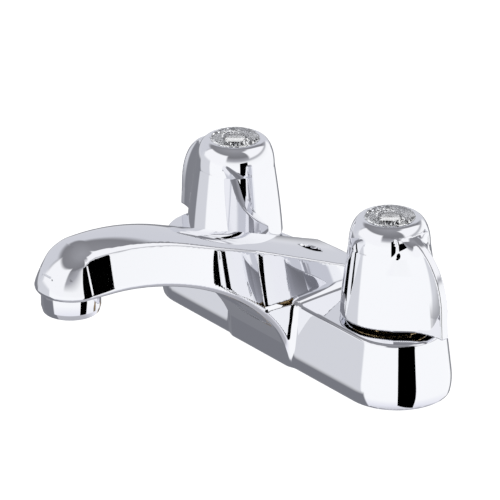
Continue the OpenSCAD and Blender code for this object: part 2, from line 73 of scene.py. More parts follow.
class FaucetBodySizes(bpy.types.PropertyGroup):
    """Sizes of the cast base and spout."""

    inlet_centres: length("Inlet centres", "Distance between the two inlets", 101.6)
    base_l: length("Base length", "Length of the base at its belly", 165.6)
    base_w: length("Base depth", "Depth of the base at its belly", 45.2)
    base_shift: length("Base shift", "Base's centre line in front of the inlets", 3.5)
    base_h: length("Base height", "Level of the handle pads", 28)
    base_lean: length("Base lean", "How far the sides lean in up to the pad", 2.4)
    base_tuck: length("Base tuck", "How far the belly stands out past the foot", 0.6)
    belly_z: length("Belly level", "Widest level of the base", 5)
    pad_edge_r: length("Pad edge", "Radius of the pad's rounded edge", 1.4)
    base_wall: length("Wall", "Wall of the casting", 3)
    pad_wall: length("Pad wall", "Thickness of the pad", 4)
    spout_reach: length("Spout reach", "Inlet line to the outlet's axis", 122)
    lip_z: length("Lip level", "Underside of the spout at the outlet", 55.5)
    crown_z: length("Crown level", "Highest level of the spout", 76.2)
    crown_ease: length("Crown easing", "Length over which the rise eases into the crown", 46)
    root_z: length("Root level", "Crown level above the inlet line", 39.5)
    tip_half_w: length("Tip half width", "Half width of the spout at the outlet", 15)
    root_half_w: length("Root half width", "Half width of the spout at the base", 20)
    tip_l: length("Nose length", "Outlet's axis to the tip", 14.3)
    tip_arch: length("Tip arch", "Rise of the crown's arch at the outlet", 3.6)
    root_arch: length("Root arch", "Rise of the crown's arch at the base", 0.9)
    tip_lean: length("Tip lean", "How far the flank leans in over 10 mm of height at the outlet", 3.4)
    root_lean: length("Root lean", "How far the flank leans in over 10 mm of height at the base", 2.5)
    fairing_h: length("Fairing", "Rise of the pad behind the spout, at the rear edge", 3.6)
    under_r: length("Lower edge", "Radius of the spout's lower edges", 2.5)
    crest_r: length("Crest edge", "Radius of the edge between crown and flank", 0.9)
    fillet_r: length("Fillet", "Radius of the inner corner between spout and base", 3)
    rod_hole_d: length("Rod hole", "Diameter of the lift rod's hole", 9)
    grain: length("Mesh size", "Cell size of the body's mesh", 0.92)


class FaucetHandleSizes(bpy.types.PropertyGroup):
    """Sizes of the two lever handles and their buttons."""

    skirt_z: length("Skirt level", "Lower edge of the skirt", 29.8)
    handle_h: length("Height", "Skirt to button rim", 41.7)
    skirt_r: length("Skirt radius", "Radius at the lower edge", 20)
    shoulder_r: length("Shoulder radius", "Radius below the rounded shoulder", 16.6)
    shoulder_h: length("Shoulder height", "Height of the rounded shoulder", 11.5)
    rim_w: length("Rim", "Metal rim round the button", 0.7)
    fin_reach: length("Lever reach", "Reach of the lever from the axis", 35)
    fin_flare: length("Lever flare", "Flare of the lever's foot", 0.5)
    fin_t: length("Lever thickness", "Thickness of the lever's end", 3.6)
    fin_blend: length("Lever blend", "Radius of the corner between lever and bell", 5)
    wall: length("Wall", "Wall of the hollow skirt", 2.6)
    button_d: length("Button", "Diameter of the clear button", 20.4)
    button_recess: length("Recess", "Depth of the button's recess", 4.5)
    button_dome: length("Dome", "Height of the dome above the rim", 2.2)
    index_t: length("Index disc", "Thickness of the disc under the button", 0.8)
    grain: length("Mesh size", "Cell size of the handle's mesh", 0.55)


class FaucetFinish(bpy.types.PropertyGroup):
    """Colours and wear of the finishes."""

    chrome: tint("Chrome", "Tint of the polished chrome", (0.90, 0.905, 0.93))
    brass: tint("Brass", "Tint of the bare brass", (0.78, 0.56, 0.27))
    steel: tint("Steel", "Tint of the stainless parts", (0.60, 0.61, 0.63))
    rubber: tint("Rubber", "Colour of the seals", (0.02, 0.02, 0.021))
    foam: tint("Foam", "Colour of the base gasket", (0.05, 0.05, 0.052))
    ceramic: tint("Ceramic", "Colour of the valve discs", (0.82, 0.81, 0.76))
    plastic: tint("Plastic", "Colour of the flow straightener", (0.74, 0.74, 0.72))
    mark: tint("Mark", "Colour of the index letters", (0.07, 0.07, 0.08))
    smudge: amount("Smudge", "Strength of faint wipe marks on the chrome", 0.35)


def millimetres(sizes):
    """The lengths of a property group as plain numbers in millimetres, in a small record."""

    class Record:
        pass

    record = Record()
    for key in sizes.__annotations__:
        setattr(record, key, getattr(sizes, key) / MM)
    return record


# Distance fields, in millimetres: negative inside the metal


def round_both(a, b, r):
    """Where a and b overlap, with the convex edge between them rounded."""
    return np.minimum(-r, np.maximum(a, b)) + np.hypot(np.maximum(a + r, 0), np.maximum(b + r, 0))


def round_join(a, b, r):
    """a and b together, with the inner corner between them filled to a radius."""
    return np.maximum(r, np.minimum(a, b)) - np.hypot(np.maximum(r - a, 0), np.maximum(r - b, 0))


def rod(x, y, r, cx=0.0, cy=0.0):
    """An upright round bar of endless height."""
    return np.hypot(x - cx, y - cy) - r


def bar(x, y, z, a, b, r):
    """A round bar between two points, with round ends."""
    a, b = np.array(a, float), np.array(b, float)
    v = b - a
    t = ((x - a[0]) * v[0] + (y - a[1]) * v[1] + (z - a[2]) * v[2]) / (v @ v)
    t = np.clip(t, 0, 1)
    return np.sqrt((x - a[0] - t * v[0]) ** 2 + (y - a[1] - t * v[1]) ** 2 + (z - a[2] - t * v[2]) ** 2) - r


def ellipse_gap(u, v, a, b):
    """Signed gap to an ellipse with the half axes a and b."""
    g = np.sqrt((u / a) ** 2 + (v / b) ** 2)
    slope = np.hypot(u / a ** 2, v / b ** 2) / np.maximum(g, 1e-6)
    return (g - 1) / np.maximum(slope, 1e-6)


def power_gap(u, v, a, b, p):
    """Signed gap to a quarter of a superellipse, for u and v of nought or more."""
    s, t = u / a, v / b
    g = np.maximum((s ** p + t ** p) ** (1 / p), 1e-6)
    slope = np.hypot((s / g) ** (p - 1) / a, (t / g) ** (p - 1) / b)
    return (g - 1) / np.maximum(slope, 1e-6)


def base_gap(s, x, y, z):
    """The base: a long rounded block with a belly and leaning sides. Gives its gap and its plan radius."""
    belly_r = s.base_w / 2
    mid = s.base_l / 2 - belly_r
    rho = np.hypot(np.maximum(np.abs(x) - mid, 0), y + s.base_shift)
    up = z - s.belly_z
    ease = 4.0
    lean = s.base_lean / (s.base_h - s.pad_edge_r - s.belly_z - ease / 2)
    drop = np.where(up < 0, s.base_tuck * (up / s.belly_z) ** 2,
                    lean * np.where(up < ease, up ** 2 / (2 * ease), up - ease / 2))
    ramp = s.fairing_h * np.clip((y + 24) / 41, 0, 1) * np.clip(1 - np.abs(x) / 40, 0, 1)
    return round_both((rho - belly_r + drop) * 0.994, (z - s.base_h - ramp) * 0.99, s.pad_edge_r), rho


def crown_rise(s):
    """Slope of the spout's straight rise."""
    return (s.crown_z - s.root_z) / (s.spout_reach - 5 - s.crown_ease / 2)


def spout_gap(s, x, y, z):
    """The spout: straight rise, easing, round nose, flanks that lean in, arched crown and curved underside."""
    belly_r = s.base_w / 2
    front, rear = -s.base_shift - belly_r, -s.base_shift + belly_r
    crown_y = -s.spout_reach + 5
    nose_z = s.lip_z + 1.5
    rise = crown_rise(s)
    taper = np.clip((front - y) / (front + s.spout_reach), 0, 1)
    full_w = s.root_half_w + (s.tip_half_w - s.root_half_w) * taper
    lean = (s.root_lean + (s.tip_lean - s.root_lean) * taper) / 10
    ahead = np.maximum(-s.spout_reach - y, 0)
    arch = (s.root_arch + (s.tip_arch - s.root_arch) * taper) * np.clip(1 - (ahead / s.tip_l) ** 2, 0.1, 1)
    under_y = -s.spout_reach + 10
    along = np.clip((y - under_y) / (front - under_y), 0, 1)
    foot = np.maximum(s.lip_z * (1 - along ** 1.8) ** (1 / 1.8) + s.under_r, s.base_h)
    wide = np.maximum(full_w - lean * np.maximum(z - foot, 0), 2)
    long = s.tip_l * np.maximum(1 - np.clip((z - nose_z) / 18, 0, 1) ** 1.5, 0.004) ** (2 / 3)
    flank = np.where(ahead > 0, ellipse_gap(x, ahead, wide, long), np.abs(x) - wide) / np.sqrt(1 + lean ** 2)
    back = np.maximum(y - crown_y, 0)
    fall = rise * np.where(back < s.crown_ease, back ** 2 / (2 * s.crown_ease), back - s.crown_ease / 2)
    crest_w = np.maximum(full_w - lean * np.maximum(s.crown_z - fall - arch - foot, 0), 4)
    across = np.clip(x / crest_w, -1.4, 1.4)
    level = z + arch * across ** 2
    slope = np.hypot(rise * np.minimum(back / s.crown_ease, 1), 2 * arch * across / crest_w)
    crown = (level - s.crown_z + fall) / np.sqrt(1 + slope ** 2)
    nose = power_gap(np.maximum(crown_y - y, 0), np.maximum(level - nose_z, 0), s.tip_l + 5, s.crown_z - nose_z, 1.75)
    crown = np.where(y < crown_y, nose, crown)
    under = -power_gap(np.maximum(y - under_y, 0), np.maximum(z, 0), front - under_y, s.lip_z, 1.8)
    shape = round_both(round_both(flank, crown, s.crest_r), under, s.under_r)
    return round_both(shape, y - rear, 1.2)


def body_gap(s, x, y, z):
    """The whole casting, with its hollow underside, bosses, waterways and bores."""
    base, rho = base_gap(s, x, y, z)
    metal = round_join(base, spout_gap(s, x, y, z), s.fillet_r)
    metal = np.maximum(metal, -z)
    pad_r = s.base_w / 2 - s.base_lean
    inlet = s.inlet_centres / 2
    side = np.abs(x)
    feed, foot = (0, -15, 16), (inlet, 0, 16)
    elbow = (0, -s.spout_reach / 2, s.root_z + crown_rise(s) * s.spout_reach / 2 - 11.5)
    posts = np.minimum(rod(side, y, 13.5, inlet), rod(x, y, s.rod_hole_d / 2 + 2))
    posts = np.minimum(posts, bar(side, y, z, feed, foot, 6.5))
    hollow = round_both(rho - pad_r + s.base_wall, z - s.base_h + s.pad_wall, 1.5)
    metal = np.maximum(metal, -np.maximum(hollow, -posts))
    chamber = rod(side, y, 11, inlet)
    metal = np.maximum(metal, -np.maximum(chamber, 8 - z))
    metal = np.maximum(metal, -rod(side, y, 5, inlet))
    metal = np.maximum(metal, -np.maximum(rod(side, y, 10.5, inlet), z - 6))
    metal = np.maximum(metal, -rod(x, y, s.rod_hole_d / 2))
    metal = np.maximum(metal, -bar(side, y, z, feed, foot, 4))
    metal = np.maximum(metal, -bar(x, y, z, feed, elbow, 5))
    metal = np.maximum(metal, -bar(x, y, z, elbow, (0, -s.spout_reach, s.lip_z + 10.5), 5))
    mouth = rod(x, y, 11, 0, -s.spout_reach)
    metal = np.maximum(metal, -np.maximum(mouth, np.maximum(z - s.lip_z - 8.5, s.lip_z - 5 - z)))
    neck = np.maximum(rod(x, y, 7, 0, -s.spout_reach), np.abs(z - s.lip_z - 5.5) - 6)
    return np.maximum(metal, -neck)


def handle_gap(s, x, y, z):
    """A lever handle about its own axis, with the lever along +X: bell, lever, hollow and recess."""
    top = s.skirt_z + s.handle_h
    shoulder = top - s.shoulder_h
    rim_r = s.button_d / 2 + s.rim_w
    rho = np.hypot(x, y)
    part = np.clip((z - s.skirt_z) / (shoulder - s.skirt_z), 0, 1)
    bell_r = s.skirt_r - (s.skirt_r - s.shoulder_r) * part ** 1.3
    bell = (rho - bell_r) * 0.993
    cap = ellipse_gap(np.maximum(rho - rim_r, 0), np.maximum(z - shoulder, 0), s.shoulder_r - rim_r, s.shoulder_h)
    bell = np.where(z > shoulder, cap, bell)
    mid = s.skirt_z + 8
    reach = s.fin_reach + s.fin_flare * np.maximum(mid - z, 0) / 8
    end = np.where(z < mid, x - reach,
                   power_gap(np.maximum(x, 0), np.maximum(z - mid, 0), s.fin_reach, top - 1.5 - mid, 2.3))
    x1 = np.where(z < mid, reach,
                  s.fin_reach * np.maximum(1 - np.clip((z - mid) / (top - 1.5 - mid), 0, 1) ** 2.3, 0) ** (1 / 2.3))
    x0, y0 = bell_r * math.cos(math.radians(29)), bell_r * math.sin(math.radians(29))
    span = np.maximum(x1 - x0, 1.0)
    t = np.clip((x1 - x) / span, 0, 1)
    swell = np.maximum(y0 - s.fin_t / 2, 0)
    half = s.fin_t / 2 + swell * t ** 2
    flank = (np.abs(y) - half) / np.sqrt(1 + (2 * swell * t / span) ** 2)
    lever = round_both(round_both(flank, end, 0.5), -x, 0.1)
    lever = np.maximum(lever, z - top + 2)
    metal = round_join(bell, lever, s.fin_blend * np.clip((top - 8 - z) / 10, 0.02, 1))
    metal = np.maximum(metal, z - top)
    metal = round_both(metal, s.skirt_z - z, 0.4)
    boss = np.maximum(rho - 7, 40 - z)
    hollow = np.maximum(rho - bell_r + s.wall, z - shoulder + 4)
    metal = np.maximum(metal, -np.maximum(hollow, -boss))
    broach = np.maximum(np.maximum(rho - 4.05, np.abs(y) - 3.25), z - 59.8)
    metal = np.maximum(metal, -broach)
    metal = np.maximum(metal, -np.maximum(rho - 2.7, 40 - z))
    floor = top - s.button_recess
    metal = np.maximum(metal, -np.maximum(rho - 4.8, floor - 3.5 - z))
    return np.maximum(metal, -np.maximum(rho - s.button_d / 2 - 0.05, floor - z))


def hex_gap(x, y, af):
    """An endless hexagonal bar with a corner on the X axis."""
    a, b = np.abs(x), np.abs(y)
    return np.maximum(b, a * math.cos(math.radians(30)) + b * 0.5) - af / 2


def nut_gap(x, y, z, af, z0, z1, bore_r, chamfer):
    """A hexagonal nut with both rims turned to a cone."""
    rho = np.hypot(x, y)
    corner = af / 2 / math.cos(math.radians(30))
    rim = (rho - corner + chamfer + np.maximum(z - z1 + chamfer * 0.6, z0 + chamfer * 0.6 - z) * 1.7) * 0.51
    nut = np.maximum(np.maximum(hex_gap(x, y, af), rim), np.maximum(z - z1, z0 - z))
    bore = rho - bore_r - np.maximum(np.maximum(z - z1 + 0.8, z0 + 0.8 - z), 0)
    return np.maximum(nut, -bore)


# From a distance field to a mesh


def slopes(gap, p, h=0.02):
    """Unit normals of a field at the given points."""
    n = np.empty_like(p)
    for a in range(3):
        step = np.zeros(3)
        step[a] = h
        q, r = p + step, p - step
        n[:, a] = gap(q[:, 0], q[:, 1], q[:, 2]) - gap(r[:, 0], r[:, 1], r[:, 2])
    return n / np.maximum(np.linalg.norm(n, axis=1), 1e-9)[:, None]


def contour(gap, low, high, cell):
    """Points, quads and normals of the surface where a field changes sign, with its edges kept crisp."""
    low, high = np.array(low, float), np.array(high, float)
    count = np.ceil((high - low) / cell).astype(int) + 1
    grid = [low[a] + cell * np.arange(count[a]) for a in range(3)]
    value = gap(grid[0][:, None, None], grid[1][None, :, None], grid[2][None, None, :])
    inside = value < 0
    points, corners = [], []
    for a in range(3):
        lower = [slice(None)] * 3
        upper = [slice(None)] * 3
        lower[a], upper[a] = slice(0, -1), slice(1, None)
        at = np.argwhere(inside[tuple(lower)] != inside[tuple(upper)])
        step = np.zeros(3, int)
        step[a] = 1
        v0, v1 = value[tuple(at.T)], value[tuple((at + step).T)]
        t0, t1 = np.zeros(len(at)), np.ones(len(at))
        for _ in range(4):
            t = np.clip(t0 + (t1 - t0) * v0 / (v0 - v1), 0, 1)
            p = low + cell * (at + t[:, None] * step)
            v = gap(p[:, 0], p[:, 1], p[:, 2])
            same = (v < 0) == (v0 < 0)
            t0, v0 = np.where(same, t, t0), np.where(same, v, v0)
            t1, v1 = np.where(same, t1, t), np.where(same, v1, v)
        points.append(p)
        b, c = (a + 1) % 3, (a + 2) % 3
        ids = []
        for db, dc in ((-1, -1), (0, -1), (0, 0), (-1, 0)):
            cube = at.copy()
            cube[:, b] += db
            cube[:, c] += dc
            ids.append((cube[:, 0] * count[1] + cube[:, 1]) * count[2] + cube[:, 2])
        ids = np.stack(ids, 1)
        leaves = inside[tuple(at.T)]
        corners.append(np.where(leaves[:, None], ids, ids[:, ::-1]))
    p = np.concatenate(points)
    corners = np.concatenate(corners)
    n = slopes(gap, p)
    cubes, quads = np.unique(corners, return_inverse=True)
    quads = quads.reshape(-1, 4)
    flat = quads.ravel()

    def gathered(values):
        return np.bincount(flat, np.repeat(values, 4), len(cubes))

    tally = gathered(np.ones(len(p)))
    middle = np.stack([gathered(p[:, a]) for a in range(3)], 1) / tally[:, None]
    facing = np.stack([gathered(n[:, a]) for a in range(3)], 1) / tally[:, None]
    reach = (n * p).sum(1)
    square = np.empty((len(cubes), 3, 3))
    for a in range(3):
        for b in range(a, 3):
            square[:, a, b] = square[:, b, a] = gathered(n[:, a] * n[:, b]) / tally
    pull = np.stack([gathered(n[:, a] * reach) for a in range(3)], 1) / tally[:, None]
    pull -= np.einsum("iab,ib->ia", square, middle)
    move = np.linalg.solve(square + 0.03 * np.eye(3), pull[:, :, None])[:, :, 0]
    place = middle + np.clip(move, -cell, cell)
    crisp = np.linalg.norm(facing, axis=1) < 0.985
    normal = slopes(gap, place)
    off = gap(place[:, 0], place[:, 1], place[:, 2])
    place -= np.where(np.abs(off) < cell, off, 0)[:, None] * normal
    normal = np.where(crisp[:, None], facing / np.maximum(np.linalg.norm(facing, axis=1), 1e-9)[:, None], normal)
    return place, quads, normal


def mesh_piece(name, points, faces, normals, finish, body, stands_for=()):
    """A new object from points in millimetres, which rides on a body and stands for the solids it replaces."""
    mesh = bpy.data.meshes.new(name)
    mesh.from_pydata((np.asarray(points) * MM).tolist(), [], np.asarray(faces).tolist()
                     if isinstance(faces, np.ndarray) else faces)
    mesh.validate()
    mesh.polygons.foreach_set("use_smooth", [True] * len(mesh.polygons))
    if normals is not None:
        mesh.normals_split_custom_set_from_vertices(normals.tolist())
    else:
        mesh.set_sharp_from_angle(angle=math.radians(32))
    mesh.update()
    mesh.materials.append(finish)
    piece = bpy.data.objects.new(name, mesh)
    bpy.context.scene.collection.objects.link(piece)
    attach(piece, body)
    if stands_for:
        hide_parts(*stands_for)
    return piece


def turned(profile, segments):
    """Points and faces of a closed profile of (radius, level) pairs, turned about the Z axis."""
    points, faces = [], []
    rows = len(profile)
    for i in range(segments):
        a = 2 * math.pi * i / segments
        points += [(r * math.cos(a), r * math.sin(a), z) for r, z in profile]
    for i in range(segments):
        k = (i + 1) % segments
        for j in range(rows):
            m = (j + 1) % rows
            faces.append((i * rows + j, k * rows + j, k * rows + m, i * rows + m))
    return np.array(points), faces


def arc(cx, cz, r, start, stop, steps):
    """Points of a rounded corner in a profile."""
    return [(cx + r * math.cos(math.radians(start + (stop - start) * i / steps)),
             cz + r * math.sin(math.radians(start + (stop - start) * i / steps))) for i in range(steps + 1)]


# Shader groups and finishes


def new_group(name, inputs, outputs):
    """An empty shader group with named sockets."""
    group = bpy.data.node_groups.new(name, "ShaderNodeTree")
    for title, kind, default in inputs:
        socket = group.interface.new_socket(name=title, in_out="INPUT", socket_type=kind)
        if default is not None:
            socket.default_value = default
    for title, kind in outputs:
        group.interface.new_socket(name=title, in_out="OUTPUT", socket_type=kind)
    return group, group.nodes.new("NodeGroupInput"), group.nodes.new("NodeGroupOutput")


def add(tree, kind, **settings):
    """A node with its settings and socket values. Keys that start with in_ name an input by its number."""
    node = tree.nodes.new(kind)
    for key, value in settings.items():
        if key.startswith("in_"):
            node.inputs[int(key[3:])].default_value = value
        else:
            setattr(node, key, value)
    return node


def math_node(tree, operation, a, b=None, c=None):
    """A math node fed by sockets or plain numbers."""
    node = add(tree, "ShaderNodeMath", operation=operation)
    for i, value in enumerate((a, b, c)):
        if value is None:
            continue
        if isinstance(value, (int, float)):
            node.inputs[i].default_value = value
        else:
            tree.links.new(value, node.inputs[i])
    return node.outputs[0]


def smudge_group():
    """Faint wipe marks and fine scratches of a metal that is polished and handled."""
    group, given, made = new_group("wipe marks", [("Size", "NodeSocketFloat", 60.0), ("Strength", "NodeSocketFloat", 0.3)],
                                   [("Roughness", "NodeSocketFloat"), ("Height", "NodeSocketFloat")])
    link = group.links.new
    place = add(group, "ShaderNodeTexCoord")
    wide = add(group, "ShaderNodeTexNoise", in_3=6.0, in_4=0.6)
    link(place.outputs["Object"], wide.inputs["Vector"])
    link(given.outputs["Size"], wide.inputs["Scale"])
    stretch = add(group, "ShaderNodeMapping", in_3=(1.0, 9.0, 3.0))
    link(place.outputs["Object"], stretch.inputs["Vector"])
    fine = add(group, "ShaderNodeTexNoise", in_3=4.0)
    link(stretch.outputs[0], fine.inputs["Vector"])
    link(math_node(group, "MULTIPLY", given.outputs["Size"], 6.0), fine.inputs["Scale"])
    cloud = add(group, "ShaderNodeMapRange", in_1=0.45, in_2=0.75)
    link(wide.outputs[0], cloud.inputs[0])
    both = math_node(group, "MULTIPLY", cloud.outputs[0], fine.outputs[0])
    link(math_node(group, "MULTIPLY", both, given.outputs["Strength"]), made.inputs["Roughness"])
    link(math_node(group, "MULTIPLY", wide.outputs[0], given.outputs["Strength"]), made.inputs["Height"])
    return group


def turning_group():
    """Fine rings that a lathe leaves on a part, about the part's own upright axis."""
    group, given, made = new_group("turning marks", [("Centre", "NodeSocketFloat", 0.0), ("Pitch", "NodeSocketFloat", 4000.0)],
                                   [("Height", "NodeSocketFloat"), ("Mask", "NodeSocketFloat")])
    link = group.links.new
    place = add(group, "ShaderNodeTexCoord")
    parts = add(group, "ShaderNodeSeparateXYZ")
    link(place.outputs["Object"], parts.inputs[0])
    side = math_node(group, "SUBTRACT", math_node(group, "ABSOLUTE", parts.outputs[0]), given.outputs["Centre"])
    radius = math_node(group, "SQRT", math_node(group, "ADD", math_node(group, "MULTIPLY", side, side),
                                                math_node(group, "MULTIPLY", parts.outputs[1], parts.outputs[1])))
    along = add(group, "ShaderNodeCombineXYZ")
    link(radius, along.inputs[0])
    link(parts.outputs[2], along.inputs[1])
    rings = add(group, "ShaderNodeTexNoise", in_3=2.0)
    link(along.outputs[0], rings.inputs["Vector"])
    link(given.outputs["Pitch"], rings.inputs["Scale"])
    link(rings.outputs[0], made.inputs["Height"])
    band = add(group, "ShaderNodeMapRange", in_1=0.35, in_2=0.65)
    link(rings.outputs[0], band.inputs[0])
    link(band.outputs[0], made.inputs["Mask"])
    return group


def speckle_group():
    """Small grains or pores, as in moulded rubber, foam and lapped ceramic."""
    group, given, made = new_group("speckle", [("Size", "NodeSocketFloat", 900.0), ("Light", "NodeSocketColor", (1, 1, 1, 1)),
                                               ("Dark", "NodeSocketColor", (0, 0, 0, 1))],
                                   [("Color", "NodeSocketColor"), ("Height", "NodeSocketFloat")])
    link = group.links.new
    place = add(group, "ShaderNodeTexCoord")
    cells = add(group, "ShaderNodeTexVoronoi")
    link(place.outputs["Object"], cells.inputs["Vector"])
    link(given.outputs["Size"], cells.inputs["Scale"])
    soft = add(group, "ShaderNodeTexNoise", in_3=3.0)
    link(place.outputs["Object"], soft.inputs["Vector"])
    link(math_node(group, "MULTIPLY", given.outputs["Size"], 0.3), soft.inputs["Scale"])
    mix = add(group, "ShaderNodeMix", data_type="RGBA")
    link(soft.outputs[0], mix.inputs[0])
    link(given.outputs["Dark"], mix.inputs[6])
    link(given.outputs["Light"], mix.inputs[7])
    link(mix.outputs[2], made.inputs["Color"])
    link(cells.outputs[0], made.inputs["Height"])
    return group


def bare_material(name, **values):
    """A material with one Principled shader. Constants go straight onto its sockets."""
    material = bpy.data.materials.new(name)
    material.use_nodes = True
    tree = material.node_tree
    shader = tree.nodes["Principled BSDF"]
    for key, value in values.items():
        shader.inputs[key.replace("_", " ")].default_value = value
    return material, tree, shader


def place_group(tree, name, **values):
    """A shader group placed in a material with its own values."""
    node = tree.nodes.new("ShaderNodeGroup")
    node.node_tree = bpy.data.node_groups[name]
    for key, value in values.items():
        node.inputs[key].default_value = value
    return node


def bumped(tree, shader, height, depth):
    """Feeds a height into the shader's normal."""
    bump = add(tree, "ShaderNodeBump")
    bump.inputs["Distance"].default_value = depth
    tree.links.new(height, bump.inputs["Height"])
    tree.links.new(bump.outputs[0], shader.inputs["Normal"])


def chrome_material(finish):
    """Polished chrome plate with faint wipe marks."""
    material, tree, shader = bare_material("polished chrome", Metallic=1.0, Roughness=0.02,
                                           Base_Color=(*finish.chrome, 1))
    marks = place_group(tree, "wipe marks", Size=35.0, Strength=0.05 * finish.smudge)
    rough = math_node(tree, "ADD", marks.outputs["Roughness"], 0.018)
    tree.links.new(rough, shader.inputs["Roughness"])
    return material


def turned_material(name, colour, centre, rough, dark):
    """Bare turned metal with the lathe's rings in it."""
    material, tree, shader = bare_material(name, Metallic=1.0, Roughness=rough)
    rings = place_group(tree, "turning marks", Centre=centre, Pitch=5000.0)
    mix = add(tree, "ShaderNodeMix", data_type="RGBA", in_6=(*[c * dark for c in colour], 1), in_7=(*colour, 1))
    tree.links.new(rings.outputs["Mask"], mix.inputs[0])
    tree.links.new(mix.outputs[2], shader.inputs["Base Color"])
    marks = place_group(tree, "wipe marks", Size=150.0, Strength=0.25)
    tree.links.new(math_node(tree, "ADD", marks.outputs["Roughness"], rough), shader.inputs["Roughness"])
    bumped(tree, shader, rings.outputs["Height"], 0.00003)
    return material


def grained_material(name, colour, rough, size, depth, light=1.3, **values):
    """Moulded or lapped stuff with a fine grain."""
    material, tree, shader = bare_material(name, Roughness=rough, **values)
    grain = place_group(tree, "speckle", Size=size, Dark=(*colour, 1),
                        Light=(*[min(1.0, c * light) for c in colour], 1))
    tree.links.new(grain.outputs["Color"], shader.inputs["Base Color"])
    bumped(tree, shader, grain.outputs["Height"], depth)
    return material


def acrylic_material():
    """Clear moulded acrylic of the index buttons, with faint haze."""
    material, tree, shader = bare_material("clear acrylic", Roughness=0.01, IOR=1.49, Transmission_Weight=1.0,
                                           Base_Color=(0.97, 0.975, 0.985, 1))
    marks = place_group(tree, "wipe marks", Size=300.0, Strength=0.1)
    tree.links.new(marks.outputs["Roughness"], shader.inputs["Roughness"])
    return material


def silvered_material():
    """Silvered disc under each button, pressed with fine rays."""
    material, tree, shader = bare_material("silvered disc", Metallic=0.35, Roughness=0.3)
    place = add(tree, "ShaderNodeTexCoord")
    parts = add(tree, "ShaderNodeSeparateXYZ")
    tree.links.new(place.outputs["Object"], parts.inputs[0])
    side = math_node(tree, "SUBTRACT", math_node(tree, "ABSOLUTE", parts.outputs[0]),
                     bpy.context.scene.faucet_body.inlet_centres / 2)
    turn = math_node(tree, "ARCTAN2", parts.outputs[1], side)
    rays = math_node(tree, "SINE", math_node(tree, "MULTIPLY", turn, 48.0))
    speck = place_group(tree, "speckle", Size=700.0, Dark=(0.5, 0.51, 0.54, 1), Light=(0.95, 0.95, 0.97, 1))
    tree.links.new(speck.outputs["Color"], shader.inputs["Base Color"])
    bumped(tree, shader, math_node(tree, "ADD", rays, speck.outputs["Height"]), 0.0002)
    return material


FINISHES = {}


def finish_of(key):
    """A finish that the finish operator has made."""
    if key not in FINISHES:
        raise RuntimeError("the finishes are made first")
    return FINISHES[key]


class FAUCET_OT_finishes(bpy.types.Operator):
    """Makes the shader groups and the finishes, and puts them on the solids that stay in view"""

    bl_idname = "faucet.finishes"
    bl_label = "Finishes"

    def execute(self, context):
        finish = context.scene.faucet_finish
        inlet = context.scene.faucet_body.inlet_centres / 2
        smudge_group()
        turning_group()
        speckle_group()
        FINISHES["chrome"] = chrome_material(finish)
        FINISHES["brass"] = turned_material("turned brass", finish.brass, inlet, 0.24, 0.86)
        FINISHES["steel"] = turned_material("stainless steel", finish.steel, inlet, 0.28, 0.85)
        FINISHES["rubber"] = grained_material("seal rubber", finish.rubber, 0.55, 2500.0, 0.00004, 1.8)
        FINISHES["foam"] = grained_material("closed-cell foam", finish.foam, 0.9, 900.0, 0.0003, 2.0)
        FINISHES["ceramic"] = grained_material("lapped ceramic", finish.ceramic, 0.12, 4000.0, 0.000004, 1.06)
        FINISHES["plastic"] = grained_material("moulded plastic", finish.plastic, 0.38, 1600.0, 0.00002, 1.05)
        FINISHES["mark"] = grained_material("mark paint", finish.mark, 0.35, 2500.0, 0.00001, 1.5)
        FINISHES["acrylic"] = acrylic_material()
        FINISHES["silvered"] = silvered_material()
        wears = {"base_gasket": "foam", "aerator_insert": "plastic", "aerator_screen": "steel",
                 "aerator_washer": "rubber"}
        for side in ("hot", "cold"):
            for part, key in (("mounting_washer", "steel"), ("seat_seal", "rubber"), ("fixed_disc", "ceramic"),
                              ("moving_disc", "ceramic"), ("cartridge", "brass"), ("cartridge_oring", "rubber"),
                              ("stem", "brass"), ("stem_oring", "rubber"), ("handle_screw", "steel"),
                              ("index_disc", "silvered")):
                wears[side + "_" + part] = key
        for node, key in wears.items():
            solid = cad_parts[node]
            solid.data.materials.clear()
            solid.data.materials.append(finish_of(key))
        return {"FINISHED"}


class FAUCET_OT_cast_body(bpy.types.Operator):
    """Makes the chromed casting: base, spout, bosses, waterways and bores in one skin"""

    bl_idname = "faucet.cast_body"
    bl_label = "Cast body"

    def execute(self, context):
        s = millimetres(context.scene.faucet_body)
        margin = 2 * s.grain
        low = (-s.base_l / 2 - margin, -s.spout_reach - s.tip_l - margin, -margin + 0.37)
        high = (s.base_l / 2 + margin, s.base_w / 2 - s.base_shift + margin, s.crown_z + margin)
        points, faces, normals = contour(lambda x, y, z: body_gap(s, x, y, z), low, high, s.grain)
        mesh_piece("cast_body", points, faces, normals, finish_of("chrome"), "fixture", ("body",))
        return {"FINISHED"}


class FAUCET_OT_handles(bpy.types.Operator):
    """Makes the two hollow lever handles, each a mirror image of the other"""

    bl_idname = "faucet.handles"
    bl_label = "Lever handles"

    def execute(self, context):
        s = millimetres(context.scene.faucet_handle)
        inlet = context.scene.faucet_body.inlet_centres / 2 / MM
        low = (-s.skirt_r - 1.3, -s.skirt_r - 1.3, s.skirt_z - 1.2)
        high = (s.fin_reach + s.fin_flare + 1.3, s.skirt_r + 1.3, s.skirt_z + s.handle_h + 1.2)
        points, faces, normals = contour(lambda x, y, z: handle_gap(s, x, y, z), low, high, s.grain)
        for side, name in ((1, "cold"), (-1, "hot")):
            flip = np.array((side, 1, 1))
            placed = points * flip + (side * inlet, 0, 0)
            quads = faces if side > 0 else faces[:, ::-1]
            mesh_piece(name + "_lever_handle", placed, quads, normals * flip, finish_of("chrome"),
                       name + "_handle_set", (name + "_handle",))
        return {"FINISHED"}


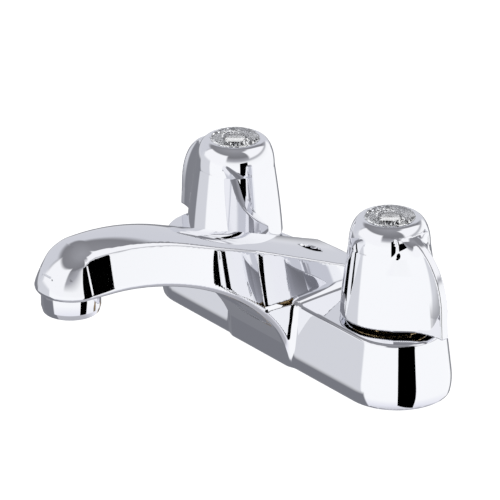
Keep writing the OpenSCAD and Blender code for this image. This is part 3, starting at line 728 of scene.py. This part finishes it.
def button_points(s, segments=48):
    """A clear button: a smooth dome above, and below it rings of small facets that scatter the light."""
    r = s.button_d / 2
    top = s.skirt_z + s.handle_h
    floor = top - s.button_recess + s.index_t
    profile = [(r * math.sin(math.radians(a)), top + s.button_dome * (1.02 * math.cos(math.radians(a * 0.93)) - 0.02))
               for a in range(6, 91, 6)]
    profile += [(r, top - 0.6), (r, floor + 1.4), (r - 0.3, floor + 0.9)]
    rings = [(9.0, 0.15, 1.5), (7.6, 1.5, 0.1), (6.2, 0.1, 1.4), (4.8, 1.5, 0.2), (3.3, 0.2, 0.2)]
    points = [(0, 0, top + s.button_dome)]
    for radius, level in profile:
        points += [(radius * math.cos(2 * math.pi * i / segments), radius * math.sin(2 * math.pi * i / segments), level)
                   for i in range(segments)]
    for k, (radius, even, odd) in enumerate(rings):
        for i in range(segments):
            a = 2 * math.pi * (i + 0.5 * (k % 2)) / segments
            points.append((radius * math.cos(a), radius * math.sin(a), floor + (even if i % 2 else odd)))
    points.append((0, 0, floor + 0.2))
    count = len(profile) + len(rings)
    faces = [(0, 1 + i, 1 + (i + 1) % segments) for i in range(segments)]
    for j in range(count - 1):
        a, b = 1 + j * segments, 1 + (j + 1) * segments
        for i in range(segments):
            k = (i + 1) % segments
            faces += [(a + i, b + i, b + k), (a + i, b + k, a + k)]
    last = 1 + (count - 1) * segments
    faces += [(last + (i + 1) % segments, last + i, len(points) - 1) for i in range(segments)]
    return np.array(points), faces, len(profile)


def letter_mesh(letter):
    """The outline of an index letter from a plain text curve, as points and faces about its middle."""
    curve = bpy.data.curves.new("letter", "FONT")
    curve.body = letter
    curve.align_x = "CENTER"
    curve.align_y = "CENTER"
    curve.size = 4.2
    curve.extrude = 0.06
    shown = bpy.data.objects.new("letter", curve)
    bpy.context.scene.collection.objects.link(shown)
    mesh = shown.to_mesh()
    points = np.array([v.co[:] for v in mesh.vertices])
    faces = [tuple(p.vertices) for p in mesh.polygons]
    shown.to_mesh_clear()
    bpy.data.objects.remove(shown)
    bpy.data.curves.remove(curve)
    return points, faces


class FAUCET_OT_buttons(bpy.types.Operator):
    """Makes the clear index buttons and the ringed letters under them"""

    bl_idname = "faucet.buttons"
    bl_label = "Index buttons"

    def execute(self, context):
        s = millimetres(context.scene.faucet_handle)
        inlet = context.scene.faucet_body.inlet_centres / 2 / MM
        level = s.skirt_z + s.handle_h - s.button_recess + s.index_t
        for side, name, letter in ((1, "cold", "C"), (-1, "hot", "H")):
            body = name + "_handle_set"
            shift = np.array((side * inlet, 0, 0))
            points, faces, _ = button_points(s)
            mesh_piece(name + "_clear_button", points + shift, faces, None, finish_of("acrylic"), body,
                       (name + "_index_button",))
            glyph, shapes = letter_mesh(letter)
            mesh_piece(name + "_letter", glyph + shift + (0, 0, level + 0.06), shapes, None, finish_of("mark"), body,
                       ())
            ring, sides = turned([(3.7, level), (4.15, level), (4.15, level + 0.1), (3.7, level + 0.1)], 64)
            mesh_piece(name + "_letter_ring", ring + shift, sides, None, finish_of("mark"), body, ())
        return {"FINISHED"}


def threaded(outer, bore, z0, z1, pitch, depth, around=72, per_turn=8, lead=2.0):
    """A tube with a thread cut round its outside, as points and faces."""
    rows = int(round((z1 - z0) / pitch * per_turn)) + 1
    levels = np.linspace(z0, z1, rows)
    points, faces = [], []
    for level in levels:
        edge = min(level - z0, z1 - level)
        for i in range(around):
            a = 2 * math.pi * i / around
            phase = ((level / pitch - i / around) % 1.0)
            cut = depth * min(1.0, edge / lead + 0.15) * (1 - abs(2 * phase - 1)) if edge > 0.2 else depth * 0.9
            r = outer - cut
            points.append((r * math.cos(a), r * math.sin(a), level))
    inner = len(points)
    for level in (z1, z0):
        points += [(bore * math.cos(2 * math.pi * i / around), bore * math.sin(2 * math.pi * i / around), level)
                   for i in range(around)]
    for j in range(rows - 1):
        for i in range(around):
            k = (i + 1) % around
            faces.append((j * around + i, j * around + k, (j + 1) * around + k, (j + 1) * around + i))
    top, low = (rows - 1) * around, 0
    for i in range(around):
        k = (i + 1) % around
        faces.append((top + i, top + k, inner + k, inner + i))
        faces.append((inner + i, inner + k, inner + around + k, inner + around + i))
        faces.append((inner + around + i, inner + around + k, low + k, low + i))
    return np.array(points), faces


class FAUCET_OT_fittings(bpy.types.Operator):
    """Makes the threaded inlet shanks, the mounting nuts and the bonnet nuts"""

    bl_idname = "faucet.fittings"
    bl_label = "Shanks and nuts"

    def execute(self, context):
        inlet = context.scene.faucet_body.inlet_centres / 2 / MM
        shank, sides = threaded(10.45, 6.35, -50, 6, 1.81, 0.95)
        mount = contour(lambda x, y, z: nut_gap(x, y, z, 28, -40.6, -31.6, 10.5, 1.6), (-17, -15.5, -41.5),
                        (17, 15.5, -30.8), 0.5)

        def bonnet_gap(x, y, z):
            rho = np.hypot(x, y)
            barrel = np.maximum(rho - 10.95, np.maximum(z - 28.5, 22.5 - z))
            head = nut_gap(x, y, z, 24, 28, 34, 7.55, 1.2)
            return np.maximum(np.minimum(barrel, head), 7.55 - rho)

        bonnet = contour(bonnet_gap, (-15, -13.5, 21.7), (15, 13.5, 34.8), 0.5)
        for side, name in ((1, "cold"), (-1, "hot")):
            shift = np.array((side * inlet, 0, 0))
            mesh_piece(name + "_threaded_shank", shank + shift, sides, None, finish_of("brass"), "fixture",
                       (name + "_shank",))
            mesh_piece(name + "_lock_nut", mount[0] + shift, mount[1], mount[2], finish_of("brass"), "fixture",
                       (name + "_mounting_nut",))
            mesh_piece(name + "_packing_nut", bonnet[0] + shift, bonnet[1], bonnet[2], finish_of("brass"), "fixture",
                       (name + "_bonnet_nut",))
        return {"FINISHED"}


class FAUCET_OT_aerator(bpy.types.Operator):
    """Makes the aerator's chromed housing with its rounded lower edge and its threaded neck"""

    bl_idname = "faucet.aerator"
    bl_label = "Aerator"

    def execute(self, context):
        s = millimetres(context.scene.faucet_body)
        low, lip = s.lip_z - 8.5, s.lip_z
        profile = [(8.4, low + 1.5), (8.4, low + 0.4)] + arc(8.8, low + 0.4, 0.4, 180, 270, 3)
        profile += arc(11.1, low + 0.3, 0.3, 270, 345, 4)
        profile += [(11.94, low + 2.2), (12.0, low + 2.4), (12.0, lip - 0.25), (11.75, lip), (10.95, lip)]
        turn = lip + 0.4
        while turn < lip + 6.4:
            profile += [(10.95, turn), (10.5, turn + 0.25), (10.5, turn + 0.45), (10.95, turn + 0.7)]
            turn += 0.95
        profile += [(10.95, lip + 6.8), (10.75, lip + 7.0), (9.3, lip + 7.0), (9.3, low + 1.5)]
        points, faces = turned(profile, 96)
        mesh_piece("aerator_shell", points + (0, -s.spout_reach, 0), faces, None, finish_of("chrome"), "fixture",
                   ("aerator_housing",))
        return {"FINISHED"}


def studio_card(tree, azimuth, elevation, centre, half, low, high, soft):
    """A mask over the studio's surroundings: one between two azimuths and two elevations, with soft edges."""
    card = place_group(tree, "studio card", Centre=math.radians(centre), Half=math.radians(half),
                       Low=math.radians(low), High=math.radians(high), Soft=math.radians(soft))
    tree.links.new(azimuth, card.inputs["Azimuth"])
    tree.links.new(elevation, card.inputs["Elevation"])
    return card.outputs["Mask"]


def card_group():
    """The mask of one card that stands round the object, by azimuth and elevation."""
    kind = "NodeSocketFloat"
    group, given, made = new_group("studio card", [(n, kind, 0.0) for n in
                                                   ("Azimuth", "Elevation", "Centre", "Half", "Low", "High", "Soft")],
                                   [("Mask", kind)])
    link = group.links.new
    turn = math_node(group, "SUBTRACT", given.outputs["Azimuth"], given.outputs["Centre"])
    turn = math_node(group, "WRAP", turn, math.pi, -math.pi)
    side = math_node(group, "SUBTRACT", given.outputs["Half"], math_node(group, "ABSOLUTE", turn))
    above = math_node(group, "SUBTRACT", given.outputs["Elevation"], given.outputs["Low"])
    below = math_node(group, "SUBTRACT", given.outputs["High"], given.outputs["Elevation"])
    near = math_node(group, "MINIMUM", side, math_node(group, "MINIMUM", above, below))
    edge = math_node(group, "ADD", math_node(group, "DIVIDE", near, given.outputs["Soft"]), 0.5)
    ramp = add(group, "ShaderNodeMapRange", interpolation_type="SMOOTHSTEP")
    link(edge, ramp.inputs[0])
    link(ramp.outputs[0], made.inputs["Mask"])
    return group


STUDIO = [
    # colour, centre, half width, lowest, highest, softness, in degrees
    ((0.66, 0.67, 0.72), 163, 50, -9, 38, 12),
    ((0.23, 0.235, 0.26), 163, 50, -60, -9, 7),
    ((0.70, 0.71, 0.75), -136, 20, -24, 8, 6),
    ((0.20, 0.205, 0.23), -140, 30, -75, -24, 6),
    ((1.0, 1.0, 1.02), -105, 40, 4, 42, 8),
    ((1.0, 1.0, 1.02), 50, 40, 24, 70, 10),
]
HORIZON = [
    # elevation in degrees and level, from the floor up to the ceiling
    (-90, 0.42), (-55, 0.5), (-42, 0.88), (-30, 1.04), (0, 1.05), (13, 1.0), (21, 0.42), (35, 0.22), (90, 0.34),
]


def studio_world():
    """White studio with a few dark cards, which the chrome shows, and a plain white background."""
    world = bpy.data.worlds.new("studio")
    bpy.context.scene.world = world
    world.use_nodes = True
    tree = world.node_tree
    tree.nodes.clear()
    link = tree.links.new
    card_group()
    place = add(tree, "ShaderNodeTexCoord")
    parts = add(tree, "ShaderNodeSeparateXYZ")
    link(place.outputs["Generated"], parts.inputs[0])
    azimuth = math_node(tree, "ARCTAN2", parts.outputs[1], parts.outputs[0])
    elevation = math_node(tree, "ARCSINE", parts.outputs[2])
    ramp = add(tree, "ShaderNodeValToRGB")
    link(math_node(tree, "MULTIPLY_ADD", elevation, 1 / math.pi, 0.5), ramp.inputs[0])
    marks = ramp.color_ramp.elements
    marks.remove(marks[1])
    for i, (height, level) in enumerate(HORIZON):
        mark = marks[0] if i == 0 else marks.new(height / 180 + 0.5)
        mark.position = height / 180 + 0.5
        mark.color = (level * 0.985, level * 0.99, level * (1.0 if level > 0.9 else 1.07), 1)
    colour = ramp.outputs[0]
    for shade, *where in STUDIO:
        mix = add(tree, "ShaderNodeMix", data_type="RGBA", in_7=(*shade, 1))
        link(studio_card(tree, azimuth, elevation, *where), mix.inputs[0])
        link(colour, mix.inputs[6])
        colour = mix.outputs[2]
    path = add(tree, "ShaderNodeLightPath")
    seen = add(tree, "ShaderNodeMix", data_type="RGBA", in_7=(1, 1, 1, 1))
    link(math_node(tree, "MAXIMUM", path.outputs["Is Camera Ray"], path.outputs["Is Transmission Ray"]),
         seen.inputs[0])
    link(colour, seen.inputs[6])
    back = add(tree, "ShaderNodeBackground", in_1=1.0)
    link(seen.outputs[2], back.inputs[0])
    out = add(tree, "ShaderNodeOutputWorld")
    link(back.outputs[0], out.inputs[0])


def floor_material():
    """Pale floor that keeps a faint shadow."""
    material = bpy.data.materials.new("pale floor")
    material.use_nodes = True
    tree = material.node_tree
    tree.nodes.clear()
    glow = add(tree, "ShaderNodeEmission", in_0=(1, 1, 1, 1), in_1=0.84)
    matt = add(tree, "ShaderNodeBsdfDiffuse", in_0=(0.45, 0.45, 0.45, 1))
    both = add(tree, "ShaderNodeAddShader")
    tree.links.new(glow.outputs[0], both.inputs[0])
    tree.links.new(matt.outputs[0], both.inputs[1])
    out = add(tree, "ShaderNodeOutputMaterial")
    tree.links.new(both.outputs[0], out.inputs[0])
    return material


def dark_card():
    """A narrow black card beside the faucet, which only its reflections show."""
    near, far, low, high = -0.121, -0.007, -0.15, 0.13
    mesh = bpy.data.meshes.new("dark_card")
    mesh.from_pydata([(0.22, near, low), (0.22, far, low), (0.22, far, high), (0.22, near, high)], [], [(0, 1, 2, 3)])
    material = bpy.data.materials.new("black card")
    material.use_nodes = True
    tree = material.node_tree
    tree.nodes.clear()
    out = add(tree, "ShaderNodeOutputMaterial")
    tree.links.new(add(tree, "ShaderNodeBsdfDiffuse", in_0=(0, 0, 0, 1)).outputs[0], out.inputs[0])
    mesh.materials.append(material)
    card = bpy.data.objects.new("dark_card", mesh)
    card.visible_camera = card.visible_diffuse = card.visible_transmission = card.visible_shadow = False
    bpy.context.scene.collection.objects.link(card)


class FAUCET_OT_stage(bpy.types.Operator):
    """Makes the floor, the studio, the lamps and the camera"""

    bl_idname = "faucet.stage"
    bl_label = "Stage"

    def execute(self, context):
        studio_world()
        mesh = bpy.data.meshes.new("floor")
        half = 2.5
        mesh.from_pydata([(-half, -half, 0), (half, -half, 0), (half, half, 0), (-half, half, 0)], [], [(0, 1, 2, 3)])
        mesh.materials.append(floor_material())
        floor = bpy.data.objects.new("floor", mesh)
        floor.visible_glossy = False
        context.scene.collection.objects.link(floor)
        dark_card()
        lamp = bpy.data.lights.new("soft lamp", "AREA")
        lamp.size = 1.2
        lamp.energy = 6.0
        holder = bpy.data.objects.new("soft lamp", lamp)
        holder.visible_glossy = False
        holder.location = (0.5, -0.9, 1.6)
        holder.rotation_euler = (-holder.location).to_track_quat("-Z", "Y").to_euler()
        context.scene.collection.objects.link(holder)
        camera = bpy.data.cameras.new("camera")
        camera.sensor_width = 36.0
        camera.sensor_fit = "HORIZONTAL"
        camera.lens = 4807.795 / 500 * 36.0
        camera.clip_start, camera.clip_end = 0.05, 50.0
        azimuth, elevation = math.radians(52.0), math.radians(24.584)
        toward = Vector((math.sin(azimuth) * math.cos(elevation), -math.cos(azimuth) * math.cos(elevation),
                         math.sin(elevation)))
        right = Vector((math.cos(azimuth), math.sin(azimuth), 0))
        up = toward.cross(right)
        eye = bpy.data.objects.new("camera", camera)
        eye.location = 2.0 * toward - 0.025039 * right + 0.034825 * up
        eye.rotation_euler = toward.to_track_quat("Z", "Y").to_euler()
        context.scene.collection.objects.link(eye)
        context.scene.camera = eye
        context.scene.view_settings.view_transform = "Standard"
        return {"FINISHED"}


OPERATORS = (FAUCET_OT_finishes, FAUCET_OT_cast_body, FAUCET_OT_handles, FAUCET_OT_buttons, FAUCET_OT_fittings,
             FAUCET_OT_aerator, FAUCET_OT_stage)


class FAUCET_PT_panel(bpy.types.Panel):
    """Sidebar panel with the faucet's sizes, finishes and pieces"""

    bl_idname = "FAUCET_PT_panel"
    bl_label = "Centerset faucet"
    bl_space_type = "VIEW_3D"
    bl_region_type = "UI"
    bl_category = "Faucet"

    def draw(self, context):
        layout = self.layout
        for title, group in (("Body", context.scene.faucet_body), ("Handles", context.scene.faucet_handle),
                             ("Finish", context.scene.faucet_finish)):
            box = layout.box()
            box.label(text=title)
            for key in group.__annotations__:
                box.prop(group, key)
        for operator in OPERATORS:
            layout.operator(operator.bl_idname)


GROUPS = (("faucet_body", FaucetBodySizes), ("faucet_handle", FaucetHandleSizes), ("faucet_finish", FaucetFinish))


def register():
    """Adds the classes and the scene's property groups."""
    for name, group in GROUPS:
        bpy.utils.register_class(group)
        setattr(bpy.types.Scene, name, bpy.props.PointerProperty(type=group))
    for cls in OPERATORS + (FAUCET_PT_panel,):
        bpy.utils.register_class(cls)


def unregister():
    """Takes them away again."""
    for cls in reversed(OPERATORS + (FAUCET_PT_panel,)):
        bpy.utils.unregister_class(cls)
    for name, group in reversed(GROUPS):
        delattr(bpy.types.Scene, name)
        bpy.utils.unregister_class(group)


def main():
    """Dresses the faucet."""
    register()
    for operator in OPERATORS:
        group, action = operator.bl_idname.split(".")
        getattr(getattr(bpy.ops, group), action)()


if __name__ == "__main__":
    main()
